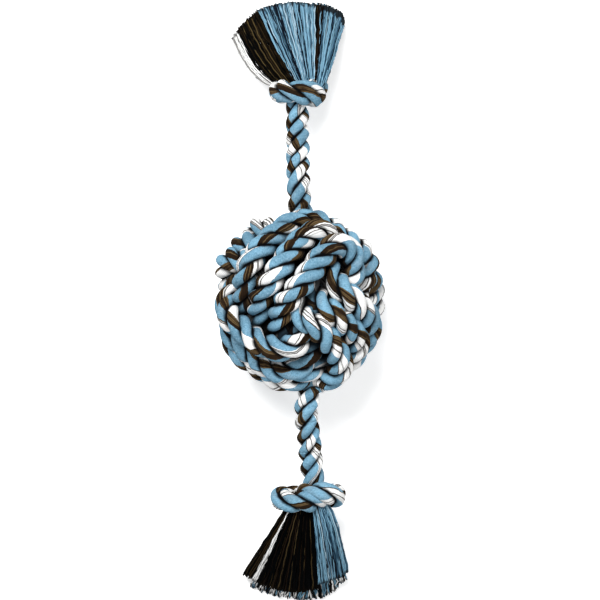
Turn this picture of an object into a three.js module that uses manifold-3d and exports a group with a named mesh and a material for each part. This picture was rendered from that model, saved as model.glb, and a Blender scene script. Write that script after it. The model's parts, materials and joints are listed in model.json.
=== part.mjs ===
// Rope dog toy: one three-strand cotton rope, tied into a ball of three crossing bands of
// turns over a core, with a leg, an overhand knot and a frayed tassel at each end.
// Millimetres, +Z up. The toy lies on a surface with its length along Y.
import * as THREE from "three";
import { mergeVertices } from "three/addons/utils/BufferGeometryUtils.js";
import Module from "manifold-3d";

// Rope sizes
const ropeDiameter = 18.5; // in the legs
const woundDiameter = 16.5; // pulled tight in the ball
const knotDiameter = 13.5; // pulled hard in the end knots
const turnGap = 0.6; // between neighbouring turns of the ball
const knotTurnGap = 0.8; // between the turns of a knot, on its centre line
const fitGap = 0.3; // between pieces that touch

// Ball: its shape as shares of the distance between two neighbouring turns
const bands = 3;
const passesPerBand = 3;
const outerShare = 3.41; // where a band lies over the next one
const innerShare = 2.3; // where it lies under the last one
const pitchShare = 1.045; // from one pass of a band to the next
const closestShare = 1.006; // least distance that these shares leave between turns
const endShare = 4.4; // where the rope leaves the ball, from its centre
const turnoverShare = 1.95; // swing of the turn from one band into the next
const leadSwingShare = 1.71; // swing of the turns into the legs
const leadStraightShare = 1.42; // and how straight the rope runs out of the ball
const startWayShares = [1.9, 1.73, -1.0]; // where the rope comes in, in the first band's axes
const endWayShares = [1.25, 1.5, 1.52]; // where it goes out, in the last band's axes
const squareness = 3.85; // 2 is an ellipse, more is squarer
const passShiftFrom = -26.3; // degrees round a band where the rope moves over by one pass
const passShiftTo = 75.2;
const bandFrom = 57.1; // degrees round a band where its first turn starts
const bandTo = 37.9; // and where its last turn ends, three turns on
const ballTurn = 100.9; // degrees, the band on top, round Z
const ballTilt = 12; // degrees, the ball's corner towards the lower leg

// Legs, as the rope lies at rest
const leadLength = 16; // first stretch of a leg, at the ball

// Where the knots lie from the ball's centre, how they are rolled, in degrees, and how long
// their tassels are, from where the lines of a tassel meet to its longest tips
const ends = [
  { name: "upper", way: 1, knotX: -1.5, knotReach: 158.4, knotRoll: -90, tasselLength: 62 },
  { name: "lower", way: -1, knotX: 6.2, knotReach: 153, knotRoll: 180, tasselLength: 67 },
];
const knotHeight = 48; // of a knot's middle, held up by the rope's own stiffness

// Tassels: locks of one colour each, as a fan round the knot's end, in two layers
const lockThickness = 8.5; // of one layer at its root
const tipThickness = 5; // of one layer at its tip
const lockGap = 0.3; // between locks side by side
const layerGap = 0.7; // between the two layers
const droop = 1.5; // 1 falls straight, more falls in a curve
const fanStart = 8; // the lines of a tassel meet this far inside its knot
// Degrees from the rope's line, anticlockwise from above at the upper end, and each lock's
// share of the tassel's length
const upperLocks = [
  { name: "blue_lock_right", from: -39, to: -20, lengthShare: 0.92, colour: "blue", layer: 1 },
  { name: "brown_stripe_lock", from: -20, to: -10, lengthShare: 0.95, colour: "brown", layer: 1 },
  { name: "blue_lock_middle", from: -10, to: 30, lengthShare: 0.95, colour: "blue", layer: 1 },
  { name: "brown_lock", from: 30, to: 48, lengthShare: 0.97, colour: "brown", layer: 1 },
  { name: "white_lock", from: 48, to: 54, lengthShare: 0.96, colour: "white", layer: 1 },
  { name: "blue_back_lock", from: -36, to: -10, lengthShare: 0.91, colour: "blue", layer: 0 },
  { name: "brown_back_lock", from: -10, to: 18, lengthShare: 0.93, colour: "brown", layer: 0 },
  { name: "white_back_lock", from: 18, to: 46, lengthShare: 1.0, colour: "white", layer: 0 },
];
const lowerLocks = [
  { name: "brown_edge_lock", from: -43, to: -37, lengthShare: 1.0, colour: "brown", layer: 1 },
  { name: "white_lock", from: -37, to: -30, lengthShare: 0.96, colour: "white", layer: 1 },
  { name: "brown_lock", from: -30, to: 11, lengthShare: 0.95, colour: "brown", layer: 1 },
  { name: "blue_lock", from: 11, to: 37, lengthShare: 0.85, colour: "blue", layer: 1 },
  { name: "white_back_lock", from: -36, to: -12, lengthShare: 0.97, colour: "white", layer: 0 },
  { name: "blue_back_lock", from: -12, to: 12, lengthShare: 1.0, colour: "blue", layer: 0 },
  { name: "brown_back_lock", from: 12, to: 30, lengthShare: 0.96, colour: "brown", layer: 0 },
];

// Counts
const turnSteps = 24;
const windingSides = 6;
const legSides = 12;
const knotSides = 8;
const knotSteps = 52;
const capSteps = 4;
const lockSteps = 6;
const lockColumnDegrees = 8;
const coreSegments = 20;
const knotPoints = 110;
const settleRounds = 300;

const standFlat = 0.1 * woundDiameter; // cut off where the ball rests

const colours = { blue: 0x7fb0cc, brown: 0x4a3824, white: 0xf4f1ea, core: 0xd9d4c8 };

function fabric(colour) {
  return new THREE.MeshStandardMaterial({ color: colour, roughness: 0.95, metalness: 0 });
}

const rad = THREE.MathUtils.degToRad;
const vec = (x, y, z) => new THREE.Vector3(x, y, z);

function smooth(share) {
  const s = Math.min(Math.max(share, 0), 1);
  return s * s * (3 - 2 * s);
}

// A point of one band, in its own axes, in units of the distance between turns
function bandPoint(degrees) {
  const angle = rad(degrees);
  const across = Math.abs(Math.cos(angle) / outerShare) ** squareness;
  const along = Math.abs(Math.sin(angle) / innerShare) ** squareness;
  const radius = (across + along) ** (-1 / squareness);
  let passes = -(passesPerBand + 1) / 2;
  for (let turn = 0; turn <= passesPerBand; turn += 1) {
    passes += smooth((degrees - 360 * turn - passShiftFrom) / (passShiftTo - passShiftFrom));
  }
  return vec(radius * Math.cos(angle), radius * Math.sin(angle), pitchShare * passes);
}

function bandHeading(degrees) {
  const nudge = 0.5;
  return bandPoint(degrees + nudge).sub(bandPoint(degrees - nudge)).normalize();
}

// A smooth way from one point and heading to another
function swing(from, fromHeading, to, toHeading, steps) {
  const points = [];
  for (let i = 1; i < steps; i += 1) {
    const s = i / steps;
    const point = vec(0, 0, 0);
    point.addScaledVector(from, 2 * s ** 3 - 3 * s ** 2 + 1);
    point.addScaledVector(fromHeading, s ** 3 - 2 * s ** 2 + s);
    point.addScaledVector(to, -2 * s ** 3 + 3 * s ** 2);
    point.addScaledVector(toHeading, s ** 3 - s ** 2);
    points.push(point);
  }
  return points;
}

// The rope's whole way through the ball, in units of the distance between turns. Each band
// lies in the axes that the band before it has when they are turned to its next face.
function ballRoute() {
  const axes = [vec(1, 0, 0), vec(0, 1, 0), vec(0, 0, 1)];
  const lastTurn = 360 * passesPerBand + bandTo;
  const bandSteps = Math.round((lastTurn - bandFrom) / (360 / turnSteps / 4));
  const place = (point) =>
    vec(0, 0, 0)
      .addScaledVector(axes[0], point.x)
      .addScaledVector(axes[1], point.y)
      .addScaledVector(axes[2], point.z);
  const way = place(vec(...startWayShares).normalize());
  const first = place(bandPoint(bandFrom));
  const start = way.clone().multiplyScalar(endShare);
  const route = [start];
  route.push(
    ...swing(
      start,
      way.clone().multiplyScalar(-leadStraightShare),
      first,
      place(bandHeading(bandFrom)).multiplyScalar(leadSwingShare),
      turnSteps / 2
    )
  );
  for (let band = 0; band < bands; band += 1) {
    for (let i = 0; i <= bandSteps; i += 1) {
      route.push(place(bandPoint(bandFrom + ((lastTurn - bandFrom) * i) / bandSteps)));
    }
    if (band === bands - 1) break;
    const leave = route[route.length - 1];
    const heading = place(bandHeading(lastTurn)).multiplyScalar(turnoverShare);
    axes.push(axes.shift().negate());
    const next = place(bandHeading(bandFrom)).multiplyScalar(turnoverShare);
    route.push(...swing(leave, heading, place(bandPoint(bandFrom)), next, turnSteps / 3));
  }
  const last = route[route.length - 1];
  const out = place(vec(...endWayShares).normalize());
  const finish = out.clone().multiplyScalar(endShare);
  route.push(
    ...swing(
      last,
      place(bandHeading(lastTurn)).multiplyScalar(leadSwingShare),
      finish,
      out.clone().multiplyScalar(leadStraightShare),
      turnSteps / 2
    ),
    finish
  );
  return route;
}

function evenly(points, steps) {
  const lengths = [0];
  for (let i = 1; i < points.length; i += 1) {
    lengths.push(lengths[i - 1] + points[i].distanceTo(points[i - 1]));
  }
  const total = lengths[lengths.length - 1];
  const spread = [];
  let i = 0;
  for (let k = 0; k <= steps; k += 1) {
    const at = (total * k) / steps;
    while (i < points.length - 2 && lengths[i + 1] < at) i += 1;
    const share = (at - lengths[i]) / (lengths[i + 1] - lengths[i]);
    spread.push(points[i].clone().lerp(points[i + 1], share));
  }
  return spread;
}

function lengthOf(points) {
  let total = 0;
  for (let i = 1; i < points.length; i += 1) total += points[i].distanceTo(points[i - 1]);
  return total;
}

// The least gap between stretches of a rope that are not neighbours along it
function leastGap(points, diameter) {
  const steps = Math.round(lengthOf(points) / (diameter / 5));
  const spread = evenly(points, steps);
  const apart = Math.round((1.9 * diameter * steps) / lengthOf(points));
  let least = Infinity;
  for (let i = 0; i < spread.length; i += 1) {
    for (let j = i + apart; j < spread.length; j += 1) {
      least = Math.min(least, spread[i].distanceTo(spread[j]));
    }
  }
  return least - diameter;
}

// A tube of one rope along points. A round end is a half sphere about the route's last point.
function ropeTube(points, diameter, sides, roundStart, roundEnd) {
  const radius = diameter / 2;
  const count = points.length;
  const headings = points.map((point, i) =>
    points[Math.min(i + 1, count - 1)].clone().sub(points[Math.max(i - 1, 0)]).normalize()
  );
  const rings = [];
  let across = vec(0, 0, 1).cross(headings[0]).normalize();
  for (let i = 0; i < count; i += 1) {
    across = across.addScaledVector(headings[i], -across.dot(headings[i])).normalize().clone();
    rings.push({ centre: points[i], across, up: headings[i].clone().cross(across), radius });
  }
  const capped = (ring, heading) => {
    const cap = [];
    for (let i = capSteps - 1; i > 0; i -= 1) {
      const angle = (Math.PI / 2) * (i / capSteps);
      const centre = ring.centre.clone().addScaledVector(heading, radius * Math.sin(angle));
      cap.push({ ...ring, centre, radius: radius * Math.cos(angle) });
    }
    return cap;
  };
  let startTip = points[0];
  let endTip = points[count - 1];
  if (roundStart) {
    const back = headings[0].clone().negate();
    startTip = points[0].clone().addScaledVector(back, radius);
    rings.unshift(...capped(rings[0], back));
  }
  if (roundEnd) {
    const ahead = headings[count - 1];
    endTip = points[count - 1].clone().addScaledVector(ahead, radius);
    rings.push(...capped(rings[rings.length - 1], ahead).reverse());
  }
  const positions = [];
  for (const ring of rings) {
    for (let k = 0; k < sides; k += 1) {
      const angle = (2 * Math.PI * k) / sides;
      const point = ring.centre.clone();
      point.addScaledVector(ring.across, ring.radius * Math.cos(angle));
      point.addScaledVector(ring.up, ring.radius * Math.sin(angle));
      positions.push(point.x, point.y, point.z);
    }
  }
  const startIndex = rings.length * sides;
  positions.push(startTip.x, startTip.y, startTip.z, endTip.x, endTip.y, endTip.z);
  const faces = [];
  for (let i = 0; i < rings.length - 1; i += 1) {
    for (let k = 0; k < sides; k += 1) {
      const a = i * sides + k;
      const b = i * sides + ((k + 1) % sides);
      faces.push(a, b, b + sides, a, b + sides, a + sides);
    }
  }
  const lastRing = (rings.length - 1) * sides;
  for (let k = 0; k < sides; k += 1) {
    const next = (k + 1) % sides;
    faces.push(startIndex, next, k, startIndex + 1, lastRing + k, lastRing + next);
  }
  return closedGeometry(positions, faces);
}

function closedGeometry(positions, faces) {
  const geometry = new THREE.BufferGeometry();
  geometry.setAttribute("position", new THREE.Float32BufferAttribute(positions, 3));
  geometry.setIndex(faces);
  geometry.computeVertexNormals();
  return geometry;
}

const wasm = await Module();
wasm.setup();

function solidOf(geometry) {
  const bare = geometry.clone();
  for (const name of Object.keys(bare.attributes)) {
    if (name !== "position") bare.deleteAttribute(name);
  }
  const merged = mergeVertices(bare);
  const mesh = new wasm.Mesh({
    numProp: 3,
    vertProperties: new Float32Array(merged.attributes.position.array),
    triVerts: new Uint32Array(merged.index.array),
  });
  return new wasm.Manifold(mesh);
}

// What of a solid lies above a level
function cutFlat(geometry, level) {
  geometry.computeBoundingBox();
  const size = geometry.boundingBox.getSize(vec(0, 0, 0)).multiplyScalar(2);
  const centre = geometry.boundingBox.getCenter(vec(0, 0, 0));
  const below = new THREE.BoxGeometry(size.x, size.y, size.z);
  below.translate(centre.x, centre.y, level - size.z / 2);
  const mesh = solidOf(geometry).subtract(solidOf(below)).getMesh();
  return closedGeometry([...mesh.vertProperties], [...mesh.triVerts]);
}

const toy = new THREE.Group();

function addPiece(name, geometry, colour) {
  const piece = new THREE.Mesh(geometry, fabric(colour));
  piece.name = name;
  toy.add(piece);
  return piece;
}

function lowestOf(points) {
  return Math.min(...points.map((point) => point.z));
}

// The ball's faces look along these axes: the band on top, the one towards the lower leg on
// the left and the one on the right. The rope's own axes follow them, the second one mirrored.
function ballAxes() {
  const lean = Math.acos(1 / Math.sqrt(3));
  const turns = [0, 120, 240];
  const faces = turns.map((turn) => {
    const angle = rad(ballTurn + turn);
    const flat = Math.sin(lean);
    const face = vec(flat * Math.cos(angle), flat * Math.sin(angle), Math.cos(lean));
    return face.applyAxisAngle(vec(1, 0, 0), rad(ballTilt));
  });
  return [faces[0], faces[1].negate(), faces[2]];
}

// Ball
const turnDistance = (woundDiameter + turnGap) / closestShare;
const faceAxes = ballAxes();
const fistRoute = ballRoute().map((point) =>
  vec(0, 0, 0)
    .addScaledVector(faceAxes[0], point.x * turnDistance)
    .addScaledVector(faceAxes[1], point.y * turnDistance)
    .addScaledVector(faceAxes[2], point.z * turnDistance)
);
const fistLength = lengthOf(fistRoute);
const turnLength = fistLength / (bands * passesPerBand + 1 / 2);
const windingSteps = Math.round((fistLength / turnLength) * turnSteps);
const windingRoute = evenly(fistRoute, windingSteps);
const ballHeight = woundDiameter / 2 - lowestOf(windingRoute) - standFlat;
for (const point of windingRoute) point.z += ballHeight;
const winding = cutFlat(ropeTube(windingRoute, woundDiameter, windingSides, false, false), 0);
addPiece("ball_winding", winding, colours.blue);
console.log("ball turns:", bands * passesPerBand, "rope in ball, mm:", fistLength.toFixed(0));
console.log("least gap in ball, mm:", leastGap(fistRoute, woundDiameter).toFixed(2));

const nearest = Math.min(...fistRoute.map((point) => point.length()));
const coreRadius = nearest - woundDiameter / 2 - fitGap;
const core = new THREE.SphereGeometry(coreRadius, coreSegments, coreSegments / 2);
core.rotateX(Math.PI / 2);
addPiece("core_wad", core, colours.core).position.z = ballHeight;

// Overhand knot: its rope's places, in rope diameters, chosen by hand and then drawn tight
const knotPlaceShares = [
  [0.35, -1.5, 0.0], [0.42, -1.1, 0.1], [0.5, -0.7, 0.2], [0.55, 0.1, 0.12],
  [0.6, 0.85, -0.1], [0.55, 1.22, -0.75], [0.05, 0.75, -1.2], [-0.75, 0.25, -1.12],
  [-1.42, -0.02, -0.55], [-1.5, -0.08, 0.3], [-0.85, -0.02, 0.98], [0.1, 0.05, 1.17],
  [1.0, 0.08, 0.92], [1.55, 0.02, 0.2], [1.4, -0.25, -0.55], [0.8, -0.75, -0.95],
  [0.1, -1.2, -0.8], [-0.38, -1.1, -0.2], [-0.5, -0.45, 0.0], [-0.5, 0.3, 0.0],
  [-0.42, 1.0, 0.08], [-0.3, 1.2, 0.05], [-0.25, 1.4, 0.0],
];

// Draws a rope tight: each point moves towards the middle of its neighbours, and stretches
// that come closer than a rope's thickness push each other away. Its ends stay.
function drawnTight(places, apart) {
  const reach = 1.75;
  let points = evenly(new THREE.CatmullRomCurve3(places).getPoints(knotPoints * 2), knotPoints);
  for (let round = 0; round < settleRounds; round += 1) {
    points = evenly(points, knotPoints);
    const skip = Math.floor((reach * knotPoints) / lengthOf(points));
    const pull = round > settleRounds * 0.9 ? 0.09 : 0.35;
    const pulled = points.map((point, i) => {
      if (i === 0 || i === knotPoints) return point.clone();
      const middle = points[i - 1].clone().lerp(points[i + 1], 0.5);
      return point.clone().lerp(middle, pull);
    });
    points = pulled.map((point, i) => {
      const push = vec(0, 0, 0);
      let near = 0;
      for (let j = 0; j < pulled.length; j += 1) {
        const distance = point.distanceTo(pulled[j]);
        if (Math.abs(i - j) <= skip || distance >= apart) continue;
        const away = point.clone().sub(pulled[j]);
        push.addScaledVector(away, (apart - distance) / distance / 2);
        near += 1;
      }
      if (i === 0 || i === knotPoints || near === 0) return point.clone();
      return point.clone().addScaledVector(push, 1 / near);
    });
  }
  return points;
}

const knotRoute = drawnTight(
  knotPlaceShares.map((place) => vec(...place)),
  1 + knotTurnGap / knotDiameter
).map((point) => point.multiplyScalar(knotDiameter));
console.log("least gap in a knot, mm:", leastGap(knotRoute, knotDiameter).toFixed(2));

// How far a tassel has dropped towards the surface, from its root to its tips
function fall(share) {
  return share ** droop;
}

// One lock of a tassel: a slice of a fan about the knot's end, from its root to its tips
function tasselLock(lock, end, centre, rootDistance) {
  const { way, tasselLength } = end;
  const columns = Math.max(1, Math.round((lock.to - lock.from) / lockColumnDegrees));
  const positions = [];
  const corner = (i, j, k) => (i * (columns + 1) + j) * 2 + k;
  for (let i = 0; i <= lockSteps; i += 1) {
    const station = rootDistance + ((tasselLength - rootDistance) * i) / lockSteps;
    const distance = i === lockSteps ? tasselLength * lock.lengthShare : station;
    const share = (distance - rootDistance) / (tasselLength - rootDistance);
    const thickness = lockThickness + (tipThickness - lockThickness) * share;
    const middle = centre.z + (tipThickness + layerGap / 2 - centre.z) * fall(share);
    const low = middle + (lock.layer === 1 ? layerGap / 2 : -layerGap / 2 - thickness);
    for (let j = 0; j <= columns; j += 1) {
      const inset = THREE.MathUtils.radToDeg(lockGap / 2 / distance);
      const sweep = lock.to - lock.from - 2 * inset;
      const angle = rad(lock.from + inset + (sweep * j) / columns);
      const x = centre.x - way * distance * Math.sin(angle);
      const y = centre.y + way * distance * Math.cos(angle);
      positions.push(x, y, low, x, y, low + thickness);
    }
  }
  const faces = [];
  const quad = (a, b, c, d) => faces.push(a, b, c, a, c, d);
  for (let i = 0; i < lockSteps; i += 1) {
    for (let j = 0; j < columns; j += 1) {
      quad(corner(i, j, 1), corner(i + 1, j, 1), corner(i + 1, j + 1, 1), corner(i, j + 1, 1));
      quad(corner(i, j, 0), corner(i, j + 1, 0), corner(i + 1, j + 1, 0), corner(i + 1, j, 0));
    }
    quad(corner(i, 0, 0), corner(i + 1, 0, 0), corner(i + 1, 0, 1), corner(i, 0, 1));
    const edge = columns;
    quad(corner(i, edge, 0), corner(i, edge, 1), corner(i + 1, edge, 1), corner(i + 1, edge, 0));
  }
  for (let j = 0; j < columns; j += 1) {
    quad(corner(0, j, 0), corner(0, j, 1), corner(0, j + 1, 1), corner(0, j + 1, 0));
    const tip = lockSteps;
    quad(corner(tip, j, 0), corner(tip, j + 1, 0), corner(tip, j + 1, 1), corner(tip, j, 1));
  }
  return closedGeometry(positions, faces);
}

// Legs, knots and tassels
const joints = [];
for (const end of ends) {
  const start = end.way > 0 ? windingRoute[0] : windingRoute[windingSteps];
  const inner = end.way > 0 ? windingRoute[1] : windingRoute[windingSteps - 1];
  const out = start.clone().sub(inner).normalize();
  const legRadius = ropeDiameter / 2;
  const ballPivot = start.clone().addScaledVector(out, legRadius + fitGap);

  const turned = knotRoute.map((point) => {
    const rolled = point.clone().applyAxisAngle(vec(0, 1, 0), rad(end.knotRoll));
    return end.way > 0 ? rolled : rolled.applyAxisAngle(vec(0, 0, 1), Math.PI);
  });
  const knotCentre = vec(end.knotX, end.way * end.knotReach, knotHeight);
  const route = turned.map((point) => point.add(knotCentre));
  const knot = ropeTube(evenly(route, knotSteps), knotDiameter, knotSides, true, true);
  const knotPivot = route[0];
  const tasselPivot = route[knotPoints];

  const heading = knotPivot.clone().sub(ballPivot).normalize();
  const leadEnd = ballPivot.clone().addScaledVector(heading, leadLength);
  const swayPivot = leadEnd.clone().addScaledVector(heading, legRadius + fitGap);
  const legEnd = knotPivot.clone().addScaledVector(heading, -knotDiameter / 2 - fitGap);
  const lead = ropeTube([ballPivot, leadEnd], ropeDiameter, legSides, true, false);
  const leg = ropeTube([swayPivot, legEnd], ropeDiameter, legSides, true, false);
  addPiece(`${end.name}_leg_root`, lead, colours.white);
  addPiece(`${end.name}_leg`, leg, colours.blue);
  addPiece(`${end.name}_knot`, knot, colours.brown);

  const locks = end.way > 0 ? upperLocks : lowerLocks;
  for (const lock of locks) {
    const fanCentre = tasselPivot.clone().add(vec(0, -end.way * fanStart, 0));
    const root = fanStart + knotDiameter / 2 + fitGap;
    const shape = tasselLock(lock, end, fanCentre, root);
    addPiece(`${end.name}_tassel_${lock.name}`, shape, colours[lock.colour]);
  }
  const pivots = { ball_pivot: ballPivot, sway_pivot: swayPivot, knot_pivot: knotPivot };
  pivots.tassel_pivot = tasselPivot;
  joints.push([end.name, pivots, heading]);
}

// The origin lies on the surface, under the middle of the whole toy
const box = new THREE.Box3().setFromObject(toy);
const middle = box.getCenter(vec(0, 0, 0));
toy.position.set(-middle.x, -middle.y, 0);
for (const [name, pivots, heading] of joints) {
  for (const [pivot, point] of Object.entries(pivots)) {
    const place = point.clone().add(toy.position).toArray();
    console.log(name, pivot, place.map((value) => value.toFixed(3)).join(" "));
  }
  console.log(name, "leg heading", heading.toArray().map((value) => value.toFixed(4)).join(" "));
}
const size = box.getSize(vec(0, 0, 0)).toArray();
console.log("overall, mm:", size.map((value) => value.toFixed(1)).join(" "));

export default toy;
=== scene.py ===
"""A dog's tug toy of thick laid cotton rope: a tied ball of crossing turns with a leg, an
overhand knot and a frayed tassel at each end.

The whole toy is one length of rope, so one path runs through the ball, the legs and the
knots, and every rope piece is a stretch of it. The tassels are fans of loose yarns.
"""

import functools
import json
import math

import bmesh
import bpy
import numpy as np
from mathutils import Matrix, Vector


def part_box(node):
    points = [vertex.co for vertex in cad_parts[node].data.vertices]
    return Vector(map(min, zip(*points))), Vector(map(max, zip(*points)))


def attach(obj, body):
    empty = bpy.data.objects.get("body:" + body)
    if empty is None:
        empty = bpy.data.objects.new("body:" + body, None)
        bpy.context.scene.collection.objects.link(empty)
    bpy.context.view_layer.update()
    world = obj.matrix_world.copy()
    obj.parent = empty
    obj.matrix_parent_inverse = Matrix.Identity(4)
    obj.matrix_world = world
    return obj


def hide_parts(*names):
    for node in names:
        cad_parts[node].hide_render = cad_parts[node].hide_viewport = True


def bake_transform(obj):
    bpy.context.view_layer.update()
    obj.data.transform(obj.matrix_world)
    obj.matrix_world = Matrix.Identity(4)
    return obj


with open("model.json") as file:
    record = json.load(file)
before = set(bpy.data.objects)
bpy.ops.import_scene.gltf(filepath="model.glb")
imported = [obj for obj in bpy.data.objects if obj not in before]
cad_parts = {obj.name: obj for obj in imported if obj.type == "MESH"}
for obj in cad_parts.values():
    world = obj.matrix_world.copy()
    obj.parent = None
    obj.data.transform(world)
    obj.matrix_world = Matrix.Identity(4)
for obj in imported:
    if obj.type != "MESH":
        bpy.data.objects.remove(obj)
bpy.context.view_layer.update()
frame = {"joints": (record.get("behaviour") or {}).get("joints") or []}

bl_info = {
    "name": "Rope dog toy",
    "version": (1, 0, 0),
    "blender": (4, 5, 0),
    "location": "3D View > Sidebar > Rope toy",
    "description": "Builds a rope dog toy: a tied ball with a knotted, tasselled leg "
                   "each side",
    "category": "Add Mesh",
}

MM = 0.001

# The ball, as shares of the distance between two neighbouring turns
TURN_DISTANCE = (16.5 + 0.6) * MM / 1.006
BANDS = 3
PASSES = 3
OUTER_SHARE = 3.41
INNER_SHARE = 2.3
PITCH_SHARE = 1.045
END_SHARE = 4.4
TURNOVER_SHARE = 1.95
LEAD_SWING_SHARE = 1.71
LEAD_STRAIGHT_SHARE = 1.42
START_WAY_SHARES = (1.9, 1.73, -1.0)
END_WAY_SHARES = (1.25, 1.5, 1.52)
SQUARENESS = 3.85
PASS_SHIFT = (-26.3, 75.2)
BAND_DEGREES = (57.1, 360 * PASSES + 37.9)
BALL_TURN = 100.9
BALL_TILT = 12

# The ball is a little taller than wide, and its turns are pushed aside to where the photo
# shows them: by band and turn, places seen from above, in mm from the ball's middle
BALL_STRETCH = (0.95, 1.02, 0.97)
GUIDE_REACH = 19 * MM
GUIDE_SLACK = 0.25
GUIDES = (
    (0, 360, ((-26.6, 40.1), (-38.2, 26.2), (-40.5, 12.3))),
    (0, 720, ((-1.9, 42.4), (-8.9, 32.4), (-15.0, 20.0), (-26.6, 6.2), (-32.0, -6.2))),
    (0, 1080, ((19.7, 31.6), (10.4, 20.0), (1.9, 7.7), (-10.4, -5.4), (-14.3, -17.7))),
    (1, 180,
     ((-55.1, -10.0), (-47.4, -18.5), (-32.8, -32.4), (-18.9, -36.2), (-4.2, -37.0))),
    (1, 540, ((-47.4, -33.9), (-37.4, -47.0), (-19.7, -55.5), (-1.9, -54.0))),
    (2, 360, ((28.1, 7.7), (38.9, -1.5), (49.7, -10.8), (57.4, -20.8))),
    (2, 720, ((13.5, 0.0), (23.5, -10.8), (35.1, -21.6), (45.1, -30.8))),
    (2, 1080, ((-1.2, -13.9), (7.7, -19.3), (18.1, -30.8), (28.9, -41.6))),
)

# The overhand knot, as shares of its rope's diameter, before it is drawn tight in so many
# rounds, over what length the rope doesn't push itself away, and how flat it is pressed
KNOT_DIAMETER = 13.5 * MM
KNOT_APART = 1 + 0.8 / 13.5
KNOT_POINTS = 110
KNOT_ROUNDS = 300
KNOT_PULL = 0.35
KNOT_LAST_PULL = 0.09
KNOT_SKIP = 1.75
KNOT_FLATTEN = 0.36
KNOT_ROLL = {"upper": -90, "lower": 180}
KNOT_SHARES = (
    (0.35, -1.5, 0.0), (0.42, -1.1, 0.1), (0.5, -0.7, 0.2), (0.55, 0.1, 0.12),
    (0.6, 0.85, -0.1), (0.55, 1.22, -0.75), (0.05, 0.75, -1.2), (-0.75, 0.25, -1.12),
    (-1.42, -0.02, -0.55), (-1.5, -0.08, 0.3), (-0.85, -0.02, 0.98), (0.1, 0.05, 1.17),
    (1.0, 0.08, 0.92), (1.55, 0.02, 0.2), (1.4, -0.25, -0.55), (0.8, -0.75, -0.95),
    (0.1, -1.2, -0.8), (-0.38, -1.1, -0.2), (-0.5, -0.45, 0.0), (-0.5, 0.3, 0.0),
    (-0.42, 1.0, 0.08), (-0.3, 1.2, 0.05), (-0.25, 1.4, 0.0),
)

# The rope's strands, and how much of its third of the rope's outline each one fills. The
# phases are how far the yarns have turned in the upper knot, the upper leg, the ball, the
# lower leg and the lower knot.
STRANDS = 3
STRAND_SPAN = 0.995
YARNS_ROUND = 28
YARN_PHASES = (0.3, 0.45, 0.05, 0.25, -0.1)
YARN_DRIFT = 2.2
DRIFT_PACE = 11.0
SMOOTH_WAY = 16 * MM
SMOOTH_ROUNDS = 80
CHANGE_WAY = 20 * MM
FLOOR_GAP = 0.2 * MM

# How deep a turn sinks between others before painted shade darkens it, and before the
# painted shade is full
SUNK_FROM = 4.5 * MM
SUNK_TO = 12 * MM
DEPTH_CELLS = 9
DEPTH_SPREAD = 1 - math.cos(math.radians(9))
DEPTH_BATCH = 8000

# The core, as shares of its solid's radius
CORE_SIZE = 0.985
CORE_LUMPS = 0.006

# Where the rope is cut into pieces, back from its marks, and a reach on each side of a
# hinge
BALL_SEAM = 5 * MM
ROOT_SEAM = 10.5 * MM
LEG_SEAM = 12 * MM
KNOT_SEAM = 10 * MM
BEND_REACH = 9 * MM
ROOT_REACH = 8 * MM

# Tassels. Their yarns leave the rope so far behind the fan's middle, and so far aside at
# the tassel's first and last degree. Past the knot that holds them they fall to the floor.
TASSEL_LENGTH = {"upper": 62 * MM, "lower": 67 * MM}
FAN_START = 8 * MM
FAN_THICKNESS = 9.2 * MM
FAN_TAPER = 0.42
TIP_HEIGHT = 5.4 * MM
FALL_POWER = 1.5
RAGGED = 0.045
FRINGE_CURL = 3.2 * MM
YARN_CURL = 0.6 * MM
YARN_SIDES = 5
CRIMP_WAVES = 46.0
ROOT = {"upper": (8.5 * MM, -19 * MM, 3 * MM), "lower": (11 * MM, -8 * MM, 12 * MM)}
# Each lock's first and last degree from the rope's line, then the share of the tassel's
# length at both, its yarns, its layer, and how far its yarns flare at both before they
# turn ahead
LOCKS = {
    "upper": (
        ("blue_lock_right", -42, -18, 1.0, 0.965, "shaded_tips", 1, 0.2, 0.0),
        ("brown_stripe_lock", -22, -12.5, 0.97, 0.94, "dark", 1, 0.0, 0.0),
        ("blue_lock_middle", -14.5, 30.5, 0.935, 0.98, "blue", 1, 0.0, 0.2),
        ("brown_lock", 30, 52, 0.99, 0.95, "brown", 1, 0.2, 0.8),
        ("white_lock", 51.5, 58.5, 0.95, 0.955, "white", 1, 0.8, 1.0),
        ("blue_back_lock", -40, -10, 1.025, 0.965, "mixed", 0, 0.1, 0.0),
        ("brown_back_lock", -10, 18, 0.95, 0.95, "dark", 0, 0.0, 0.1),
        ("white_back_lock", 18, 46, 0.96, 0.93, "white", 0, 0.1, 0.8),
    ),
    "lower": (
        ("brown_edge_lock", -43.5, -37, 1.02, 0.985, "brown", 1, 0.0, 0.0),
        ("white_lock", -36.5, -33, 0.985, 0.98, "white", 1, 0.0, 0.0),
        ("brown_lock", -33, 11, 0.985, 0.915, "dark", 1, 0.1, 0.1),
        ("blue_lock", 10.5, 36.5, 0.865, 0.87, "blue", 1, 0.1, 0.7),
        ("white_back_lock", -35, -12, 1.07, 1.03, "pale", 0, 0.0, 0.0),
        ("blue_back_lock", -12, 12, 1.03, 1.04, "mixed", 0, 0.0, 0.1),
        ("brown_back_lock", 12, 33, 1.04, 0.93, "mixed", 0, 0.1, 0.5),
    ),
}
# How much of its length a lock loses at its first degree, and over what share of its width
CORNER = {"upper_tassel_blue_lock_right": 0.18, "upper_tassel_blue_back_lock": 0.14}
CORNER_WIDTH = 0.4
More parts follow.
